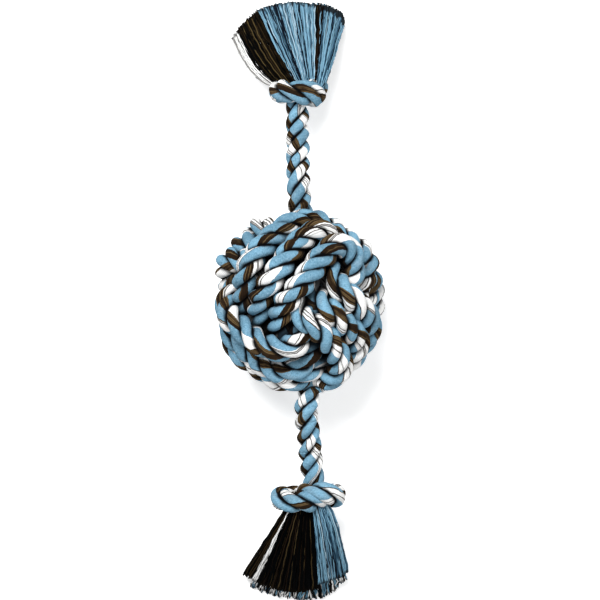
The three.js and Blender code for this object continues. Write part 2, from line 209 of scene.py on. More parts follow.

# The colours
# painted shade: black for the rope's grooves and for turns sunk between others
BLACK = (0.001, 0.001, 0.0015)
# a deep blue for the painted shade between blue yarns and for the beads of their twist
DEEP_BLUE = (0.05, 0.13, 0.20)
SLATE = (0.10, 0.22, 0.32)
# painted shade at the loose yarns' tips
TIP_SHADE = (0.004, 0.003, 0.002)
DARK = (0.002, 0.002, 0.002)

# The stage: the world's light, what the camera sees added to it and to the floor, and the
# height above the floor at which the picture has its width
WORLD_LIGHT = 0.22
WORLD_GLOW = 0.75
FLOOR_GLOW = 0.42
VIEW_HEIGHT = 0.02
VIEW_OFFSET = (0.4 * MM, -1.5 * MM)

ENDS = {"upper": 1, "lower": -1}
JOINTS = {joint["name"]: Vector(joint["pos_m"]) for joint in frame["joints"]}


class RopeSizes(bpy.types.PropertyGroup):
    """How thick the rope is drawn, and how it is laid."""

    ball_width: bpy.props.FloatProperty(
        name="Ball rope", description="Rope diameter in the ball",
        default=20.2 * MM, min=0.01, unit="LENGTH")
    leg_width: bpy.props.FloatProperty(
        name="Leg rope", description="Rope diameter in the legs",
        default=18.5 * MM, min=0.01, unit="LENGTH")
    knot_width: bpy.props.FloatProperty(
        name="Knot rope", description="Rope diameter in the end knots",
        default=17.6 * MM, min=0.01, unit="LENGTH")
    ball_lay: bpy.props.FloatProperty(
        name="Ball lay", description="Length of one turn of the strands in the ball",
        default=44 * MM, min=0.01, unit="LENGTH")
    leg_lay: bpy.props.FloatProperty(
        name="Leg lay", description="Length of one turn of the strands in the legs",
        default=38.4 * MM, min=0.01, unit="LENGTH")
    knot_lay: bpy.props.FloatProperty(
        name="Knot lay", description="Length of one turn of the strands in the knots",
        default=44 * MM, min=0.01, unit="LENGTH")
    ring_step: bpy.props.FloatProperty(
        name="Ring step", description="Distance between the rings of the rope's mesh",
        default=1.3 * MM, min=0.0005, unit="LENGTH")
    strand_sides: bpy.props.IntProperty(
        name="Strand sides", description="Corners across one strand's visible side",
        default=10, min=4)
    strand_centre: bpy.props.FloatProperty(
        name="Strand centre",
        description="Strand's distance from the middle, of the diameter",
        default=0.243, subtype="FACTOR")
    strand_radius: bpy.props.FloatProperty(
        name="Strand radius", description="Strand's radius, of the rope's diameter",
        default=0.262, subtype="FACTOR")
    yarn_turns: bpy.props.FloatProperty(
        name="Yarn turns", description="Turns of a strand's yarns in one lay of the rope",
        default=1.8)
    leg_yarn_turns: bpy.props.FloatProperty(
        name="Leg yarn turns", description="The same in the legs, where the rope is looser",
        default=2.45)


class YarnColours(bpy.types.PropertyGroup):
    """The cotton's colours."""

    blue: bpy.props.FloatVectorProperty(
        name="Blue", description="Light blue yarn", subtype="COLOR",
        default=(0.190, 0.375, 0.510))
    brown: bpy.props.FloatVectorProperty(
        name="Brown", description="Dark brown yarn", subtype="COLOR",
        default=(0.022, 0.012, 0.006))
    olive: bpy.props.FloatVectorProperty(
        name="Olive", description="The lighter yarns among the brown", subtype="COLOR",
        default=(0.120, 0.078, 0.036))
    white: bpy.props.FloatVectorProperty(
        name="White", description="White yarn", subtype="COLOR",
        default=(0.95, 0.95, 0.94))


class TasselSizes(bpy.types.PropertyGroup):
    """The loose yarns of the tassels."""

    yarn_width: bpy.props.FloatProperty(
        name="Yarn", description="Diameter of one loose yarn",
        default=1.15 * MM, min=0.0003, unit="LENGTH")
    front_yarns: bpy.props.FloatProperty(
        name="Front yarns", description="Yarns in each degree of a front lock", default=5.4)
    back_yarns: bpy.props.FloatProperty(
        name="Back yarns", description="Yarns in each degree of a back lock", default=3.0)
    yarn_steps: bpy.props.IntProperty(
        name="Yarn steps", description="Points along one yarn", default=15, min=4)
    wave: bpy.props.FloatProperty(
        name="Wave", description="How far a yarn wanders at its tip",
        default=1.5 * MM, unit="LENGTH")
    crimp: bpy.props.FloatProperty(
        name="Crimp", description="How far a yarn waves from the twist that it had",
        default=0.3 * MM, unit="LENGTH")


class StageSizes(bpy.types.PropertyGroup):
    """The floor, the lamps and the camera."""

    floor_size: bpy.props.FloatProperty(
        name="Floor", description="Side of the floor", default=12.0, unit="LENGTH")
    view_width: bpy.props.FloatProperty(
        name="View", description="Width of the picture at the toy", default=0.4626,
        unit="LENGTH")
    camera_height: bpy.props.FloatProperty(
        name="Camera height", description="Height of the camera", default=6.0,
        unit="LENGTH")
    key_power: bpy.props.FloatProperty(
        name="Key lamp", description="Power of the main lamp", default=44.0, unit="POWER")
    fill_power: bpy.props.FloatProperty(
        name="Fill lamp", description="Power of the second lamp", default=14.0,
        unit="POWER")


# Node trees


def arithmetic(operation):
    """A field's two methods for an operator: with the field before it, and after it."""
    return (lambda field, other: calc(operation, field, other),
            lambda field, other: calc(operation, other, field))


class Field:
    """A value on a node tree's wires, with ordinary arithmetic."""

    def __init__(self, tree, socket):
        self.tree = tree
        self.socket = socket

    __add__, __radd__ = arithmetic("ADD")
    __sub__, __rsub__ = arithmetic("SUBTRACT")
    __mul__, __rmul__ = arithmetic("MULTIPLY")
    __truediv__, __rtruediv__ = arithmetic("DIVIDE")
    __pow__, __rpow__ = arithmetic("POWER")


def plug(socket, value):
    """Puts a wire or a plain value into a socket."""
    if isinstance(value, Field):
        value.tree.links.new(value.socket, socket)
    else:
        socket.default_value = value


def tree_of(*values):
    """The tree of the first field among these values."""
    return next(value.tree for value in values if isinstance(value, Field))


def calc(operation, *values):
    return step(tree_of(*values), "ShaderNodeMath", dict(enumerate(values)),
                operation=operation)


def step(tree, kind, inputs=None, out=0, **settings):
    """Adds a node and gives the field of one of its outputs, if it has one."""
    node = tree.nodes.new(kind)
    for name, value in settings.items():
        setattr(node, name, value)
    for name, value in (inputs or {}).items():
        plug(node.inputs[name], value)
    return None if out is None else Field(tree, node.outputs[out])


def vector(x, y, z):
    return step(tree_of(x, y, z), "ShaderNodeCombineXYZ", {"X": x, "Y": y, "Z": z})


def parts(value):
    """The three parts of a vector field."""
    node = step(value.tree, "ShaderNodeSeparateXYZ", {"Vector": value}).socket.node
    return [Field(value.tree, output) for output in node.outputs]


def between(given, name, place):
    """A field that runs from one input to another across a lock."""
    return given[f"{name} from"] + (given[f"{name} to"] - given[f"{name} from"]) * place


def keep_attribute(geometry, name, value, kind="FLOAT"):
    """Stores a field on the points of a geometry."""
    return step(geometry.tree, "GeometryNodeStoreNamedAttribute",
                {"Geometry": geometry, "Name": name, "Value": value},
                data_type=kind, domain="POINT")


def named(tree, name, kind="FLOAT"):
    return step(tree, "GeometryNodeInputNamedAttribute", {"Name": name}, data_type=kind)


def new_tree(name, **inputs):
    """A geometry node tree whose inputs are given by their kind, and the inputs' fields."""
    tree = bpy.data.node_groups.new(name, "GeometryNodeTree")
    for kind, labels in (("Geometry", ("Geometry",)), *inputs.items()):
        for label in labels:
            tree.interface.new_socket(label, in_out="INPUT",
                                      socket_type="NodeSocket" + kind)
    tree.interface.new_socket("Geometry", in_out="OUTPUT", socket_type="NodeSocketGeometry")
    sockets = tree.nodes.new("NodeGroupInput").outputs
    return tree, {socket.name: Field(tree, socket) for socket in sockets if socket.name}


def end_tree(geometry, material):
    """Closes a tree as every tree here ends: real geometry with its material."""
    tree = geometry.tree
    smooth = step(tree, "GeometryNodeSetShadeSmooth", {"Geometry": geometry})
    real = step(tree, "GeometryNodeRealizeInstances", {"Geometry": smooth})
    made = step(tree, "GeometryNodeSetMaterial", {"Geometry": real, "Material": material})
    step(tree, "NodeGroupOutput", {0: made}, out=None)


@functools.cache
def laid_rope_tree():
    """Three strands twisted round a path. The path's points hold the rope's width, the
    turns laid so far and the way along the rope."""
    tree, given = new_tree("Laid rope", Float=("From", "To", "Centre", "Radius"),
                           Int=("Sides",), Material=("Material",))
    sides, centre, radius = given["Sides"], given["Centre"], given["Radius"]
    along = named(tree, "along")
    path = step(tree, "GeometryNodeMeshToCurve", {"Mesh": given["Geometry"]})
    path = step(tree, "GeometryNodeSetCurveTilt",
                {"Curve": path, "Tilt": named(tree, "lays") * (2 * math.pi)})
    ring = step(tree, "GeometryNodeCurvePrimitiveCircle",
                {"Resolution": sides * STRANDS, "Radius": 1.0})
    index = step(tree, "GeometryNodeInputIndex")
    strand = calc("FLOOR", (index + 0.5) / sides)
    across = (index - strand * sides) / (sides - 1) * 2 - 1
    around = across * (math.pi / STRANDS * STRAND_SPAN)
    sine, cosine = calc("SINE", around), calc("COSINE", around)
    reach = centre * cosine + calc("SQRT", radius * radius - centre * centre * sine * sine)
    turned = around + strand * (2 * math.pi / STRANDS)
    spot = vector(reach * calc("COSINE", turned), reach * calc("SINE", turned), 0.0)
    ring = step(tree, "GeometryNodeSetPosition", {"Geometry": ring, "Position": spot})
    facing = calc("ARCTAN2", reach * sine, reach * cosine - centre)
    for name, value in (("facing", facing / (2 * math.pi)), ("strand", strand),
                        ("edge", calc("ABSOLUTE", across))):
        ring = keep_attribute(ring, name, value)
    rope = step(tree, "GeometryNodeCurveToMesh",
                {"Curve": path, "Profile Curve": ring, "Scale": named(tree, "width")})
    strand = named(tree, "strand")
    drift = step(tree, "ShaderNodeTexNoise", {
        "Vector": vector(along * DRIFT_PACE, strand * 7.0, 3.0),
        "Scale": 1.0, "Detail": 0.0})
    turn = named(tree, "facing") + named(tree, "yarn_lays") + drift * YARN_DRIFT
    rope = keep_attribute(rope, "yarn", vector(turn, along, strand), "FLOAT_VECTOR")
    before, after = (
        step(tree, "FunctionNodeCompare", {"A": along, "B": given[name]},
             data_type="FLOAT", operation=operation)
        for name, operation in (("From", "LESS_THAN"), ("To", "GREATER_THAN")))
    outside = step(tree, "FunctionNodeBooleanMath", {0: before, 1: after}, operation="OR")
    rope = step(tree, "GeometryNodeDeleteGeometry",
                {"Geometry": rope, "Selection": outside})
    end_tree(rope, given["Material"])
    return tree


@functools.cache
def yarn_fan_tree():
    """A lock of loose yarns that spread from one point and fall to the floor."""
    tree, given = new_tree(
        "Yarn fan", Int=("Count", "Steps", "Seed"), Vector=("Root", "Centre"),
        Float=("Angle from", "Angle to", "Lowest", "Highest", "Flare from", "Flare to",
               "Length from", "Length to", "Full length", "Thickness", "Held",
               "Tip height", "Corner", "Way", "Layer", "Width", "Wave", "Crimp", "Curl",
               "Ragged"),
        Material=("Material",))
    line = step(tree, "GeometryNodeCurvePrimitiveLine", {"End": (0.0, 0.0, 1.0)})
    line = step(tree, "GeometryNodeResampleCurve", {"Curve": line, "Count": given["Steps"]})
    points = step(tree, "GeometryNodePoints", {"Count": given["Count"]})
    yarns = step(tree, "GeometryNodeInstanceOnPoints", {"Points": points, "Instance": line})
    yarns = step(tree, "GeometryNodeRealizeInstances", {"Geometry": yarns})
    number = step(tree, "GeometryNodeCurveOfPoint")
    share = step(tree, "GeometryNodeSplineParameter")

    def luck(offset):
        return step(tree, "FunctionNodeRandomValue",
                    {"ID": number, "Seed": given["Seed"] + offset}, out=1,
                    data_type="FLOAT")

    def wander(offset, pace):
        spot = vector(share * pace, number * 7.31, offset)
        return step(tree, "ShaderNodeTexNoise",
                    {"Vector": spot, "Scale": 1.0, "Detail": 1.0}) - 0.5

    height_luck, side_luck, length_luck = luck(1), luck(2), luck(3)
    place = (number + side_luck) / given["Count"]
    angle, flare, reach = (between(given, name, place)
                           for name in ("Angle", "Flare", "Length"))
    corner = calc("MAXIMUM", 1 - place / CORNER_WIDTH, 0.0)
    reach = reach * (1.01 - length_luck * given["Ragged"]
                     - corner * corner * given["Corner"])
    back, root_low, root_high = parts(given["Root"])
    centre_x, centre_y, centre_z = parts(given["Centre"])
    span = (angle - given["Lowest"]) / (given["Highest"] - given["Lowest"])
    root_across = root_low + (root_high - root_low) * (span + (side_luck - 0.5) * 0.1)
    tip_across = reach * calc("SINE", angle)
    tip_ahead = reach * calc("COSINE", angle)
    crimp = calc("SINE", share * CRIMP_WAVES + luck(7) * 6.3 + wander(3.0, 4.0) * 9.0)
    sway = wander(0.0, 3.0) * given["Wave"] * share * 3 + crimp * given["Crimp"]
    curl = wander(9.0, 14.0) * given["Curl"] * share ** 4 * 4
    across = root_across + (tip_across - root_across) * share ** (1 - flare * 0.5)
    ahead = (tip_ahead + back) * share ** (1 + flare * 0.55) - back
    free = (share * (reach + back) - back - given["Held"]) / (
        given["Full length"] - given["Held"])
    fall = calc("MINIMUM", calc("MAXIMUM", free, 0.0), 1.0) ** FALL_POWER
    middle = centre_z + (given["Tip height"] - centre_z) * fall
    thick = given["Thickness"] * (1 - share * FAN_TAPER)
    stack = (height_luck - 0.5 + given["Layer"]) * thick
    lift = wander(5.0, 3.0) * given["Wave"] * share * 2
    height = calc("MAXIMUM", middle + stack + lift, given["Width"] * 0.55)
    spot = vector(centre_x - given["Way"] * (across + sway + curl),
                  centre_y + given["Way"] * ahead, height)
    yarns = step(tree, "GeometryNodeSetPosition", {"Geometry": yarns, "Position": spot})
    yarns = keep_attribute(yarns, "yarn", vector(luck(4), share, 0.0), "FLOAT_VECTOR")
    x, y, _ = parts(step(tree, "GeometryNodeInputTangent"))
    yarns = keep_attribute(yarns, "aside", vector(y, x * -1, 0.0), "FLOAT_VECTOR")
    ring = step(tree, "GeometryNodeCurvePrimitiveCircle",
                {"Resolution": YARN_SIDES, "Radius": given["Width"] * 0.5})
    slim = 0.75 + share * 0.25 + luck(6) * 0.15
    fan = step(tree, "GeometryNodeCurveToMesh",
               {"Curve": yarns, "Profile Curve": ring, "Scale": slim, "Fill Caps": True})
    # How far each point of a yarn faces sideways, kept for the painted shade on the yarns'
    # flanks
    aside = step(tree, "ShaderNodeVectorMath", {0: named(tree, "aside", "FLOAT_VECTOR")},
                 operation="NORMALIZE")
    flank = step(tree, "ShaderNodeVectorMath",
                 {0: aside, 1: step(tree, "GeometryNodeInputNormal")},
                 out="Value", operation="DOT_PRODUCT")
    fan = keep_attribute(fan, "flank", calc("ABSOLUTE", flank))
    end_tree(fan, given["Material"])
    return tree


def run_tree(obj, tree, values):
    """Runs a tree on an object with these inputs and keeps the result as its mesh."""
    modifier = obj.modifiers.new(tree.name, "NODES")
    modifier.node_group = tree
    sockets = {
        item.name: item.identifier for item in tree.interface.items_tree
        if item.item_type == "SOCKET" and item.in_out == "INPUT"}
    for name, value in values.items():
        modifier[sockets[name]] = value
    depsgraph = bpy.context.evaluated_depsgraph_get()
    made = bpy.data.meshes.new_from_object(
        obj.evaluated_get(depsgraph), preserve_all_data_layers=True, depsgraph=depsgraph)
    obj.modifiers.clear()
    obj.data = made
    return obj


def new_object(name, mesh):
    obj = bpy.data.objects.new(name, mesh)
    bpy.context.scene.collection.objects.link(obj)
    return obj


# Materials


def mix(share, first, second, blend="MIX"):
    """A mix of two colours. Each is a field, or its red, green and blue."""
    first, second = (colour if isinstance(colour, Field) else (*colour, 1.0)
                     for colour in (first, second))
    return step(tree_of(share, first, second), "ShaderNodeMix",
                {0: share, 6: first, 7: second}, out=2, data_type="RGBA", blend_type=blend)


def smooth_share(value, low, high):
    """0 where the value is low and 1 where it is high, with a soft change between."""
    return step(value.tree, "ShaderNodeMapRange",
                {"Value": value, "From Min": low, "From Max": high},
                interpolation_type="SMOOTHSTEP")


def banded(tree, place, bands):
    """A colour that changes sharply at each band's start."""
    ramp = tree.nodes.new("ShaderNodeValToRGB")
    ramp.color_ramp.interpolation = "CONSTANT"
    while len(ramp.color_ramp.elements) < len(bands):
        ramp.color_ramp.elements.new(1.0)
    for element, (start, colour) in zip(ramp.color_ramp.elements, bands):
        element.position = start
        element.color = (*colour, 1.0)
    plug(ramp.inputs[0], place)
    return Field(tree, ramp.outputs[0])


def stored(tree, name, out="Fac"):
    """An attribute of the piece's mesh."""
    return step(tree, "ShaderNodeAttribute", out=out, attribute_name=name)


def place_noise(tree, scale, detail=3.0):
    """Noise on the piece itself."""
    where = step(tree, "ShaderNodeTexCoord", out="Object")
    return step(tree, "ShaderNodeTexNoise",
                {"Vector": where, "Scale": scale, "Detail": detail})


def zigzag(line):
    """1 at each whole number of a field, and 0 halfway between them."""
    return calc("ABSOLUTE", calc("FRACT", line) * 2 - 1)


def new_material(name):
    material = bpy.data.materials.new(name)
    material.use_nodes = True
    material.node_tree.nodes.clear()
    return material, material.node_tree


def finish_cotton(tree, colour, height, distance, shine=0.06):
    """Closes a material as dull cotton with this colour and this bump."""
    bump = step(tree, "ShaderNodeBump",
                {"Strength": 1.0, "Distance": distance, "Height": height})
    surface = step(tree, "ShaderNodeBsdfPrincipled", {
        "Roughness": 0.95, "Specular IOR Level": shine, "Base Color": colour,
        "Normal": bump})
    step(tree, "ShaderNodeOutputMaterial", {0: surface}, out=None)


# Where each strand's colours lie round it: share of the turn at which a colour starts
SECTORS = (
    ((0.0, "blue"), (0.5, "brown"), (0.7, "white"), (0.985, "brown")),
    ((0.0, "blue"), (0.25, "white"), (0.51, "brown"), (0.53, "blue"), (0.78, "brown")),
    ((0.0, "brown"), (0.22, "white"), (0.51, "blue")),
)
MASKS = {"blue": (1, 0, 0), "brown": (0, 1, 0), "white": (0, 0, 1)}


@functools.cache
def rope_material():
    """Cotton strands whose yarns lie in sectors of blue, brown and white."""
    colours = bpy.context.scene.rope_toy_colours
    material, tree = new_material("Laid cotton rope")
    turn, along, strand = parts(stored(tree, "yarn", "Vector"))
    fibre = place_noise(tree, 240.0)
    fuzz = place_noise(tree, 1300.0, 5.0)
    patch = place_noise(tree, 45.0)
    faded = place_noise(tree, 95.0, 2.0)
    fleck = place_noise(tree, 720.0, 2.0)
    turn = turn + (fibre - 0.5) * 0.05 + (patch - 0.5) * 0.12
    number = calc("ROUND", strand)
    sectors = banded(tree, (number + calc("FRACT", turn)) / STRANDS, [
        ((index + start) / STRANDS, MASKS[colour])
        for index, bands in enumerate(SECTORS) for start, colour in bands])
    _, brown_share, white_share = parts(sectors)

    # valley is 1 where neighbouring yarns meet; the colours below darken there as painted
    # shade, and the bump follows the crest
    line = turn * YARNS_ROUND
    valley = zigzag(line) ** 2
    crest = 1 - valley
    chance = step(tree, "ShaderNodeTexWhiteNoise",
                  {"W": calc("FLOOR", line) + number * 57.0}, noise_dimensions="1D")

    bead = zigzag(along * 560.0 + line * 0.5)
    dull, bright = (tuple(times * c for c in colours.blue) for times in (0.74, 1.12))
    blue = mix(smooth_share(patch, 0.3, 0.7), dull, bright)
    # The blue's darkenings: faded and flecked tones, then painted shade in the valleys
    # between yarns, then the beads of the yarns' twist
    for share, over in (
            (smooth_share(faded, 0.5, 0.75) * 0.55, (0.25, 0.35, 0.42)),
            (smooth_share(fleck, 0.52, 0.72) * 0.4, (0.36, 0.55, 0.68)),
            (smooth_share(fleck, 0.50, 0.30) * 0.5, (0.06, 0.14, 0.20)),
            (valley * 0.3, DEEP_BLUE), (bead * 0.22, DEEP_BLUE)):
        blue = mix(share, blue, over)
    brown = mix(smooth_share(chance + (fibre - 0.5) * 0.5, 0.45, 0.8),
                colours.brown, colours.olive)
    # painted shade: the valleys between brown yarns go near black
    brown = mix(valley * 0.85, brown, (0.003, 0.002, 0.001))
    thread = smooth_share(chance, 0.83, 0.86) * smooth_share(crest, 0.2, 0.7)
    # painted shade: the valleys between white yarns go grey
    white = mix(valley * 0.35, colours.white, (0.30, 0.29, 0.27))
    white = mix(thread * 0.92, white, (0.02, 0.014, 0.008))
    colour = mix(white_share, mix(brown_share, blue, brown), white)

    # painted shade: the strands' edges, where they meet in the rope's grooves, go black
    # over a width that noise makes uneven
    uneven = stored(tree, "edge") + (faded - 0.5) * 0.5 + (fibre - 0.5) * 0.15
    colour = mix(smooth_share(uneven, 0.62, 0.96), colour, BLACK)
    # painted shade: turns that sink between others go dark
    shade = smooth_share(stored(tree, "sunk"), SUNK_FROM, SUNK_TO)
    colour = mix(shade * 0.94, colour, BLACK)
    lines = 0.35 + (brown_share + white_share) * 0.65
    height = crest * lines * 0.55 + fuzz * 0.6 + fibre * 0.45
    finish_cotton(tree, colour, height, 0.45 * MM)
    return material


@functools.cache
def yarn_material(colour_name):
    """Loose yarns of one colour, with a few strays of the others among them."""
    colours = bpy.context.scene.rope_toy_colours
    material, tree = new_material(f"Loose {colour_name} yarn")
    chance, share, _ = parts(stored(tree, "yarn", "Vector"))
    fibre = place_noise(tree, 420.0)
    fuzz = place_noise(tree, 2200.0, 4.0)
    shaded_tips, brown = colour_name == "shaded_tips", colour_name in ("brown", "dark")
    colour = banded(tree, chance, {
        "blue": ((0.0, (0.002, 0.005, 0.012)), (0.13, (0.03, 0.08, 0.13)),
                 (0.28, (0.11, 0.23, 0.33)), (0.5, colours.blue),
                 (0.86, (0.38, 0.56, 0.68))),
        "brown": ((0.0, (0.001, 0.001, 0.001)), (0.4, (0.008, 0.005, 0.002)),
                  (0.65, (0.028, 0.018, 0.008)), (0.85, (0.08, 0.056, 0.022))),
        "dark": ((0.0, (0.0005, 0.0005, 0.0005)), (0.6, (0.004, 0.002, 0.001)),
                 (0.84, (0.014, 0.008, 0.004)), (0.95, (0.05, 0.034, 0.014))),
        "white": ((0.0, (0.30, 0.29, 0.28)), (0.10, colours.white),
                  (0.55, (0.7, 0.69, 0.67)), (0.72, colours.white)),
        "pale": ((0.0, DARK), (0.36, colours.white), (0.78, SLATE), (0.9, colours.blue)),
        "mixed": ((0.0, DARK), (0.4, SLATE), (0.58, colours.blue), (0.8, colours.white)),
    }["blue" if shaded_tips else colour_name])
    colour = mix(smooth_share(fibre, 0.3, 0.8) * 0.3, colour,
                 mix(1.0, colour, (0.5, 0.5, 0.5), "MULTIPLY"))
    # painted shade: each yarn's flanks go dark, for the shade between yarns
    side = smooth_share(stored(tree, "flank"), 0.45, 0.95)
    colour = mix(side * 0.9, colour, (0.001, 0.002, 0.003))
    # painted shade at the yarns' tips; on the lock with shaded tips it starts further back
    # and more unevenly
    cut_from, uneven, depth = (0.9, 0.044, 0.95) if shaded_tips else (0.955, 0.0, 0.8)
    cut = smooth_share(share + (fibre - 0.5) * 0.03 + (chance - 0.5) * uneven,
                       cut_from, cut_from + 0.04)
    colour = mix(cut * depth, colour, TIP_SHADE)
    finish_cotton(tree, colour, fibre * 0.5 + fuzz * 0.5, 0.3 * MM, 0.02 if brown else 0.06)
    return material


# The rope's path


def core_middle():
    """The middle of the ball and of its core."""
    low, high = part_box("core_wad")
    return (np.array(low) + np.array(high)) / 2


def smoothstep(share):
    share = np.clip(share, 0, 1)
    return share * share * (3 - 2 * share)


def steps_of(points):
    """The distance from each point to the next."""
    return np.linalg.norm(np.diff(points, axis=0), axis=1)


def so_far(steps):
    return np.concatenate([[0], np.cumsum(steps)])


def drawn_straight(points, pull):
    """How each point moves when it is drawn towards the middle of its neighbours."""
    return pull * (0.5 * (points[:-2] + points[2:]) - points[1:-1])


def evenly(points, count):
    """The same route as this many equal steps."""
    lengths = so_far(steps_of(points))
    places = np.linspace(0, lengths[-1], count + 1)
    return np.stack([np.interp(places, lengths, points[:, k]) for k in range(3)], axis=1)


def band_points(degrees):
    """One band of the ball in its own axes, in units of the distance between turns."""
    angle = np.radians(degrees)
    across = np.abs(np.cos(angle) / OUTER_SHARE) ** SQUARENESS
    along = np.abs(np.sin(angle) / INNER_SHARE) ** SQUARENESS
    radius = (across + along) ** (-1 / SQUARENESS)
    passes = np.full_like(angle, -(PASSES + 1) / 2)
    for turn in range(PASSES + 1):
        passes += smoothstep((degrees - 360 * turn - PASS_SHIFT[0])
                             / (PASS_SHIFT[1] - PASS_SHIFT[0]))
    return np.stack([radius * np.cos(angle), radius * np.sin(angle),
                     PITCH_SHARE * passes], axis=1)


def swing(start, start_heading, end, end_heading, steps):
    """A smooth way from one point and heading to another, without its two ends."""
    s = np.linspace(0, 1, steps + 1)[1:-1, None]
    return ((2 * s**3 - 3 * s**2 + 1) * start + (s**3 - 2 * s**2 + s) * start_heading
            + (3 * s**2 - 2 * s**3) * end + (s**3 - s**2) * end_heading)


def ball_axes():
    """The axes of the ball's first band, from the ways that its faces look."""
    lean = math.acos(1 / math.sqrt(3))
    tilt = math.radians(BALL_TILT)
    faces = []
    for turn in (0, 120, 240):
        angle = math.radians(BALL_TURN + turn)
        x, y, z = (math.sin(lean) * math.cos(angle), math.sin(lean) * math.sin(angle),
                   math.cos(lean))
        faces.append((x, y * math.cos(tilt) - z * math.sin(tilt),
                      y * math.sin(tilt) + z * math.cos(tilt)))
    return np.array([faces[0], [-c for c in faces[1]], faces[2]])


def ball_route(fineness=40):
    """The rope's way through the ball, about the ball's middle, in metres. Each band lies
    in the axes of the band before it, turned to its next face."""
    world = ball_axes() * TURN_DISTANCE * np.array(BALL_STRETCH)
    seen = []
    unit = lambda v: np.array(v) / np.linalg.norm(v)
    axes = [np.array(axis, float) for axis in np.eye(3)]
    place = lambda points: np.asarray(points) @ np.array(axes)
    heading = lambda degrees: unit(
        np.diff(place(band_points(np.array([degrees - 0.5, degrees + 0.5]))), axis=0)[0])
    first, last = BAND_DEGREES
    band = np.linspace(first, last, int((last - first) / 2))
    way = place(unit(START_WAY_SHARES))
    points = place(band_points(band))
    route = [way[None] * END_SHARE,
             swing(way * END_SHARE, -way * LEAD_STRAIGHT_SHARE, points[0],
                   heading(first) * LEAD_SWING_SHARE, fineness)]
    for number in range(BANDS):
        points = place(band_points(band))
        route.append(points)
        for guided, middle, places in GUIDES:
            if guided == number:
                near = place(band_points(np.arange(middle - 100, middle + 60))) @ world
                seen += [(near, np.array(spot) * MM) for spot in places]
        if number == BANDS - 1:
            break
        leave = heading(last) * TURNOVER_SHARE
        axes.append(-axes.pop(0))
        route.append(swing(points[-1], leave, place(band_points(band))[0],
                           heading(first) * TURNOVER_SHARE, fineness))
    out = place(unit(END_WAY_SHARES))
    route += [swing(points[-1], heading(last) * LEAD_SWING_SHARE, out * END_SHARE,
                    out * LEAD_STRAIGHT_SHARE, fineness), out[None] * END_SHARE]
    return pushed(np.concatenate(route) @ world, seen)


def pushed(points, seen):
    """Pushes turns aside, at the distance from the ball's middle that they have, so that
    they pass the places where the photo shows them."""
    held, moves = [], []
    for near, spot in seen:
        at = near[np.argmin(np.linalg.norm(near[:, :2] - spot, axis=1))]
        reach = np.linalg.norm(at)
        high = math.sqrt(max(reach**2 - spot @ spot, (0.2 * reach) ** 2))
        held.append(at)
        moves.append(np.append(spot, high) - at)
    held, moves = np.array(held), np.array(moves)

    def pull(a, b):
        apart = np.linalg.norm(a[:, None] - b[None], axis=2)
        return np.exp(-0.5 * (apart / GUIDE_REACH) ** 2)

    weights = np.linalg.solve(pull(held, held) + GUIDE_SLACK * np.eye(len(held)), moves)
    reach = np.linalg.norm(points, axis=1, keepdims=True)
    moved = points + pull(points, held) @ weights
    return moved * reach / np.linalg.norm(moved, axis=1, keepdims=True)


@functools.cache
def knot_route():
    """An overhand knot about its middle, in rope diameters. Each point is drawn towards the
    middle of its neighbours, and stretches that come too close push each other away."""
    places = np.array(KNOT_SHARES)
    ends = np.concatenate(
        [[2 * places[0] - places[1]], places, [2 * places[-1] - places[-2]]])
    curve = []
    for a, b, c, d in zip(ends, ends[1:], ends[2:], ends[3:]):
        for s in np.linspace(0, 1, 10, endpoint=False):
            curve.append(0.5 * (2 * b + (c - a) * s + (2 * a - 5 * b + 4 * c - d) * s**2
                                + (3 * b - a - 3 * c + d) * s**3))
    points = evenly(np.array(curve + [places[-1]]), KNOT_POINTS)
    number = np.arange(KNOT_POINTS + 1)
    for turn in range(KNOT_ROUNDS):
        points = evenly(points, KNOT_POINTS)
        skip = int(KNOT_SKIP * KNOT_POINTS / steps_of(points).sum())
        pull = KNOT_LAST_PULL if turn > KNOT_ROUNDS * 0.9 else KNOT_PULL
        drawn = points.copy()
        drawn[1:-1] += drawn_straight(points, pull)
        away = drawn[:, None] - drawn[None]
        apart = np.linalg.norm(away, axis=2)
        near = (np.abs(number[:, None] - number[None]) > skip) & (apart < KNOT_APART)
        push = np.where(near, (KNOT_APART - apart) / np.maximum(apart, 1e-6) / 2, 0)
        moved = (away * push[:, :, None]).sum(1) / np.maximum(near.sum(1), 1)[:, None]
        drawn[1:-1] += moved[1:-1]
        points = drawn
    return points


def placed_knot(end):
    """The knot's rope in the toy's frame, pressed a little flatter along the rope."""
    roll = math.radians(KNOT_ROLL[end])
    x, y, z = knot_route().T
    sine, cosine = math.sin(roll), math.cos(roll)
    x, z = x * cosine + z * sine, z * cosine - x * sine
    way = ENDS[end]
    points = np.stack([way * x, way * y, z], axis=1) * KNOT_DIAMETER
    centre = np.array(JOINTS[f"{end}_knot_nod"]) - points[0]
    points[:, 1] *= KNOT_FLATTEN
    return points + centre


